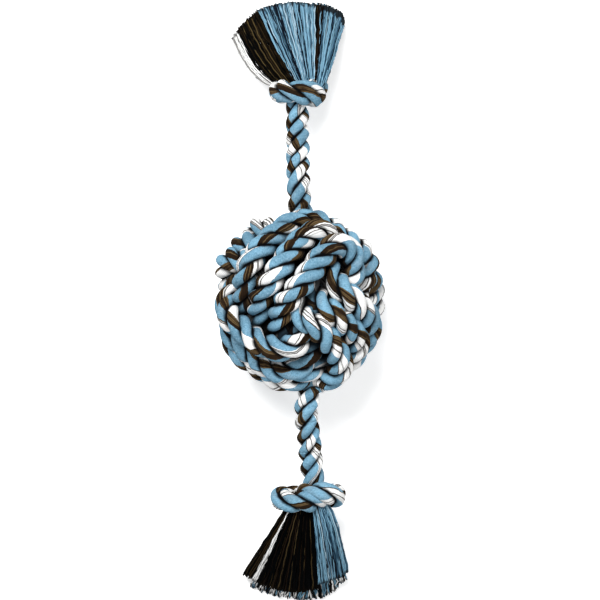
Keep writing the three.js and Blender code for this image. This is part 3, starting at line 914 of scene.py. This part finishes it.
@functools.cache
def toy_path():
    """The whole rope from the upper tassel to the lower one: its points, the values that
    each point holds, and how far along it the hinges and the ball's ends lie. The values
    are the rope's width, the turns of its strands and yarns so far and the way along."""
    sizes = bpy.context.scene.rope_toy_sizes
    ball = ball_route() + core_middle()
    route = np.concatenate([
        placed_knot("upper")[::-1],
        [JOINTS["upper_leg_sway"], JOINTS["upper_leg_lift"]],
        ball,
        [JOINTS["lower_leg_lift"], JOINTS["lower_leg_sway"]],
        placed_knot("lower")])
    points = evenly(route, int(steps_of(route).sum() / sizes.ring_step))
    near = np.full(len(points), np.inf)
    for name in ("upper_leg_lift", "upper_knot_nod", "lower_leg_lift", "lower_knot_nod"):
        near = np.minimum(near, np.linalg.norm(points - np.array(JOINTS[name]), axis=1))
    ease = 0.5 * smoothstep(1 - near / SMOOTH_WAY)[1:-1, None]
    for _ in range(SMOOTH_ROUNDS):
        points[1:-1] += drawn_straight(points, ease)
    steps = steps_of(points)
    along = so_far(steps)

    def reach(point):
        return along[np.argmin(np.linalg.norm(points - np.array(point), axis=1))]

    marks = {name: reach(JOINTS[name]) for name in JOINTS if "tassel" not in name}
    marks |= {"upper_ball": reach(ball[0]), "lower_ball": reach(ball[-1]), "end": along[-1]}
    upper_knot, lower_knot = (
        smoothstep(way * (marks[f"{end}_knot_nod"] - along) / CHANGE_WAY + 0.5)
        for end, way in ENDS.items())
    in_knot = upper_knot + lower_knot
    in_ball = (smoothstep((along - marks["upper_ball"]) / CHANGE_WAY)
               * smoothstep((marks["lower_ball"] - along) / CHANGE_WAY))
    in_leg = 1 - in_ball - in_knot
    upper = along < along[-1] / 2

    def blend(leg, balled, knotted):
        return leg + (balled - leg) * in_ball + (knotted - leg) * in_knot

    width = blend(sizes.leg_width, sizes.ball_width, sizes.knot_width)
    lay = blend(sizes.leg_lay, sizes.ball_lay, sizes.knot_lay)
    yarn_turns = blend(sizes.leg_yarn_turns, sizes.yarn_turns, sizes.yarn_turns)[1:]
    turned = steps / ((lay[1:] + lay[:-1]) / 2)
    lays, yarn_lays = so_far(turned), so_far(turned * yarn_turns)
    stretches = (upper_knot, in_leg * upper, in_ball, in_leg * ~upper, lower_knot)
    yarn_lays = yarn_lays + sum(
        phase * stretch for phase, stretch in zip(YARN_PHASES, stretches))
    values = {"width": width, "lays": lays, "yarn_lays": yarn_lays, "along": along}
    return points, values, marks


def rope_piece(name, start, end):
    """The stretch of the rope between two places along it, closed at both ends."""
    sizes = bpy.context.scene.rope_toy_sizes
    points, values, _ = toy_path()
    mesh = bpy.data.meshes.new(name)
    mesh.from_pydata(points.tolist(), [(i, i + 1) for i in range(len(points) - 1)], [])
    for label, held in values.items():
        attribute = mesh.attributes.new(label, "FLOAT", "POINT")
        attribute.data.foreach_set("value", held.astype(np.float32))
    obj = new_object(name, mesh)
    run_tree(obj, laid_rope_tree(), {
        "From": start - sizes.ring_step / 2, "To": end + sizes.ring_step / 2,
        "Sides": sizes.strand_sides, "Centre": sizes.strand_centre,
        "Radius": sizes.strand_radius, "Material": rope_material()})
    for label in (*values, "facing", "strand"):
        obj.data.attributes.remove(obj.data.attributes[label])
    close_ends(obj)
    press_on_floor(obj)
    return obj


def places_of(mesh):
    """A mesh's points, a row each."""
    places = np.empty(len(mesh.vertices) * 3, np.float32)
    mesh.vertices.foreach_get("co", places)
    return places.reshape(-1, 3)


def keep_how_deep(obj):
    """Stores how far each point of the ball lies under the ball's outer form, so that
    painted shade darkens the turns where they sink between the others."""
    away = places_of(obj.data) - core_middle().astype(np.float32)
    reach = np.linalg.norm(away, axis=1)
    away /= reach[:, None]
    cells, cell = np.unique(np.round(away * DEPTH_CELLS).astype(int), axis=0,
                            return_inverse=True)
    outer = np.zeros(len(cells), np.float32)
    np.maximum.at(outer, cell.ravel(), reach)
    ways = (cells / np.linalg.norm(cells, axis=1, keepdims=True)).astype(np.float32)
    sunk = np.empty_like(reach)
    for start in range(0, len(reach), DEPTH_BATCH):
        part = slice(start, start + DEPTH_BATCH)
        near = np.exp((away[part] @ ways.T - 1) / DEPTH_SPREAD)
        sunk[part] = (near @ outer) / near.sum(1) - reach[part]
    obj.data.attributes.new("sunk", "FLOAT", "POINT").data.foreach_set("value", sunk)


def close_ends(obj):
    """Caps open ends and turns the faces outwards."""
    bm = bmesh.new()
    bm.from_mesh(obj.data)
    rims = [edge for edge in bm.edges if edge.is_boundary]
    caps = bmesh.ops.holes_fill(bm, edges=rims)["faces"]
    bmesh.ops.triangulate(bm, faces=caps)
    if bm.calc_volume(signed=True) < 0:
        bmesh.ops.reverse_faces(bm, faces=bm.faces)
    bm.to_mesh(obj.data)
    bm.free()


def press_on_floor(obj):
    """Flattens what would reach through the floor, softly."""
    places = places_of(obj.data)
    places[:, 2] = np.maximum(places[:, 2], FLOOR_GAP)
    obj.data.vertices.foreach_set("co", places.ravel())


# The pieces


class ROPETOY_OT_ball(bpy.types.Operator):
    """Winds the ball: three crossing bands of three turns each"""

    bl_idname = "rope_toy.ball"
    bl_label = "Ball"

    def execute(self, context):
        marks = toy_path()[-1]
        ball = rope_piece("ball_rope", marks["upper_ball"] + BALL_SEAM,
                          marks["lower_ball"] - BALL_SEAM)
        keep_how_deep(ball)
        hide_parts("ball_winding")
        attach(ball, "ball")
        return {"FINISHED"}


class ROPETOY_OT_core(bpy.types.Operator):
    """Wads the core that the ball's turns are drawn tight on"""

    bl_idname = "rope_toy.core"
    bl_label = "Core"

    def execute(self, context):
        low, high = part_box("core_wad")
        middle = Vector(core_middle())
        bm = bmesh.new()
        bmesh.ops.create_icosphere(bm, subdivisions=5, radius=(high[0] - low[0]) / 2)
        for vert in bm.verts:
            x, y, z = vert.co.normalized()
            lumps = (math.sin(9 * x + 4 * y) * math.sin(8 * y - 5 * z)
                     + math.sin(14 * z + 6 * x))
            vert.co *= CORE_SIZE + CORE_LUMPS * lumps
            vert.co += middle
        mesh = bpy.data.meshes.new("core")
        bm.to_mesh(mesh)
        bm.free()
        mesh.polygons.foreach_set("use_smooth", [True] * len(mesh.polygons))
        core = new_object("core_wadding", mesh)
        core.data.materials.append(wadding_material())
        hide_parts("core_wad")
        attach(core, "ball")
        return {"FINISHED"}


@functools.cache
def wadding_material():
    """A wad for the core: its dark brown and blue-grey are painted shade seen through the
    ball's gaps.
    """
    material, tree = new_material("Wadding in painted shade")
    fibre = place_noise(tree, 160.0)
    fuzz = place_noise(tree, 900.0, 5.0)
    # painted shade: the wad is dark where it shows between the turns
    colour = mix(smooth_share(fibre, 0.35, 0.65), (0.05, 0.035, 0.022), (0.10, 0.16, 0.20))
    finish_cotton(tree, colour, fibre * 0.6 + fuzz * 0.4, 0.6 * MM)
    return material


class ROPETOY_OT_legs(bpy.types.Operator):
    """Runs a leg from the ball to each knot, in stretches cut at the joints"""

    bl_idname = "rope_toy.legs"
    bl_label = "Legs"

    def execute(self, context):
        marks = toy_path()[-1]
        for end, way in ENDS.items():
            lift, sway, nod = (JOINTS[f"{end}_{name}"]
                               for name in ("leg_lift", "leg_sway", "knot_nod"))
            cuts = (marks[f"{end}_ball"] + way * BALL_SEAM,
                    marks[f"{end}_leg_lift"] - way * ROOT_SEAM,
                    marks[f"{end}_leg_sway"] - way * LEG_SEAM,
                    marks[f"{end}_knot_nod"] - way * KNOT_SEAM)
            stretches = (("leg_root_rope", lift, ROOT_REACH, "leg_root"),
                         ("leg_rope", sway, BEND_REACH, "leg"),
                         ("leg_end_rope", nod, ROOT_REACH, None))
            for number, (name, pivot, reach, node) in enumerate(stretches):
                piece = rope_piece(f"{end}_{name}", *sorted(cuts[number:number + 2]))
                if node:
                    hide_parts(f"{end}_{node}")
                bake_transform(piece)
        return {"FINISHED"}


class ROPETOY_OT_knots(bpy.types.Operator):
    """Ties an overhand knot at the end of each leg"""

    bl_idname = "rope_toy.knots"
    bl_label = "Knots"

    def execute(self, context):
        marks = toy_path()[-1]
        stretches = {
            "upper": (0.0, marks["upper_knot_nod"] - KNOT_SEAM),
            "lower": (marks["lower_knot_nod"] + KNOT_SEAM, marks["end"]),
        }
        for end, (start, stop) in stretches.items():
            knot = rope_piece(f"{end}_knot_rope", start, stop)
            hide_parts(f"{end}_knot")
            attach(knot, f"{end}_knot")
        return {"FINISHED"}


class ROPETOY_OT_tassels(bpy.types.Operator):
    """Frays each end of the rope into a fan of loose yarns, one lock at a time"""

    bl_idname = "rope_toy.tassels"
    bl_label = "Tassels"

    def execute(self, context):
        sizes = context.scene.rope_toy_tassels
        for end, way in ENDS.items():
            pivot = JOINTS[f"{end}_tassel_sway"]
            ahead = Vector((0, way, 0))
            centre = pivot - ahead * FAN_START
            lowest = math.radians(min(lock[1] for lock in LOCKS[end]))
            highest = math.radians(max(lock[2] for lock in LOCKS[end]))
            for number, (name, low, high, length_low, length_high, yarns, layer,
                         flare_low, flare_high) in enumerate(LOCKS[end]):
                density = sizes.front_yarns if layer else sizes.back_yarns
                fringe = end == "lower" and not layer
                node = f"{end}_tassel_{name}"
                lock = run_tree(new_object(f"{node}_yarns", bpy.data.meshes.new(node)),
                                yarn_fan_tree(), {
                    "Count": int((high - low) * density), "Steps": sizes.yarn_steps,
                    "Angle from": math.radians(low), "Angle to": math.radians(high),
                    "Lowest": lowest, "Highest": highest, "Root": Vector(ROOT[end]),
                    "Flare from": flare_low, "Flare to": flare_high,
                    "Length from": TASSEL_LENGTH[end] * length_low,
                    "Length to": TASSEL_LENGTH[end] * length_high,
                    "Full length": TASSEL_LENGTH[end], "Thickness": FAN_THICKNESS,
                    "Held": FAN_START + KNOT_DIAMETER / 2, "Tip height": TIP_HEIGHT,
                    "Corner": CORNER.get(node, 0.0), "Way": float(way), "Centre": centre,
                    "Layer": 0.5 if layer else -0.5, "Width": sizes.yarn_width,
                    "Wave": sizes.wave, "Crimp": sizes.crimp,
                    "Curl": FRINGE_CURL if fringe else YARN_CURL, "Ragged": RAGGED,
                    "Seed": 10 * number + (way > 0), "Material": yarn_material(yarns)})
                lock.data.attributes.remove(lock.data.attributes["aside"])
                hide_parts(node)
                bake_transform(lock)
        return {"FINISHED"}


class ROPETOY_OT_stage(bpy.types.Operator):
    """Lays the pale floor, hangs the lamps and sets the camera straight above"""

    bl_idname = "rope_toy.stage"
    bl_label = "Stage"

    def execute(self, context):
        scene = context.scene
        sizes = scene.rope_toy_stage
        half = sizes.floor_size / 2
        mesh = bpy.data.meshes.new("floor")
        mesh.from_pydata([(-half, -half, 0), (half, -half, 0), (half, half, 0),
                          (-half, half, 0)], [], [(0, 1, 2, 3)])
        floor = new_object("floor", mesh)
        floor.data.materials.append(floor_material())

        for name, place, size, power in (
                ("key_lamp", (-0.35, 0.75, 1.7), 0.9, sizes.key_power),
                ("fill_lamp", (0.9, -0.7, 1.5), 1.4, sizes.fill_power)):
            light = bpy.data.lights.new(name, "AREA")
            light.shape = "DISK"
            light.size = size
            light.energy = power
            lamp = new_object(name, light)
            lamp.location = place
            lamp.rotation_euler = (-Vector(place)).to_track_quat("-Z", "Y").to_euler()

        world = bpy.data.worlds.new("studio")
        world.use_nodes = True
        tree = world.node_tree
        backdrop = tree.nodes["Background"]
        seen = calc("MAXIMUM", step(tree, "ShaderNodeLightPath", out="Is Camera Ray"),
                    step(tree, "ShaderNodeLightPath", out="Is Glossy Ray"))
        backdrop.inputs["Color"].default_value = (1.0, 1.0, 1.0, 1.0)
        plug(backdrop.inputs["Strength"], WORLD_LIGHT + seen * WORLD_GLOW)
        scene.world = world

        lens = bpy.data.cameras.new("camera")
        lens.sensor_width = 36.0
        distance = sizes.camera_height - VIEW_HEIGHT
        lens.lens = lens.sensor_width * distance / sizes.view_width
        lens.clip_end = 30.0
        camera = new_object("camera", lens)
        x, y, _ = core_middle()
        camera.location = (x + VIEW_OFFSET[0], y + VIEW_OFFSET[1], sizes.camera_height)
        scene.camera = camera
        scene.view_settings.view_transform = "Standard"
        return {"FINISHED"}


@functools.cache
def floor_material():
    """A white sheet: matt, and as bright as white to the camera away from shadow."""
    material, tree = new_material("White floor")
    sheet = step(tree, "ShaderNodeBsdfDiffuse", {"Color": (0.93, 0.93, 0.93, 1.0)})
    seen = step(tree, "ShaderNodeLightPath", out="Is Camera Ray")
    glow = step(tree, "ShaderNodeEmission", {"Strength": seen * FLOOR_GLOW})
    both = step(tree, "ShaderNodeAddShader", {0: sheet, 1: glow})
    step(tree, "ShaderNodeOutputMaterial", {0: both}, out=None)
    return material


class ROPETOY_PT_panel(bpy.types.Panel):
    """The toy's sizes, colours and pieces"""

    bl_idname = "ROPETOY_PT_panel"
    bl_label = "Rope toy"
    bl_space_type = "VIEW_3D"
    bl_region_type = "UI"
    bl_category = "Rope toy"

    def draw(self, context):
        for name, group in GROUPS.items():
            box = self.layout.box()
            settings = getattr(context.scene, name)
            for field in group.__annotations__:
                box.prop(settings, field)
        for piece in PIECES:
            self.layout.operator(piece.bl_idname)


GROUPS = {
    "rope_toy_sizes": RopeSizes,
    "rope_toy_colours": YarnColours,
    "rope_toy_tassels": TasselSizes,
    "rope_toy_stage": StageSizes,
}
PIECES = (
    ROPETOY_OT_stage,
    ROPETOY_OT_ball,
    ROPETOY_OT_core,
    ROPETOY_OT_legs,
    ROPETOY_OT_knots,
    ROPETOY_OT_tassels,
)


def register():
    for cls in (*GROUPS.values(), *PIECES, ROPETOY_PT_panel):
        bpy.utils.register_class(cls)
    for name, group in GROUPS.items():
        setattr(bpy.types.Scene, name, bpy.props.PointerProperty(type=group))


def unregister():
    for name in GROUPS:
        delattr(bpy.types.Scene, name)
    for cls in (ROPETOY_PT_panel, *reversed(PIECES), *reversed(GROUPS.values())):
        bpy.utils.unregister_class(cls)


def main():
    register()
    for piece in PIECES:
        group, name = piece.bl_idname.split(".")
        getattr(getattr(bpy.ops, group), name)()


if __name__ == "__main__":
    main()
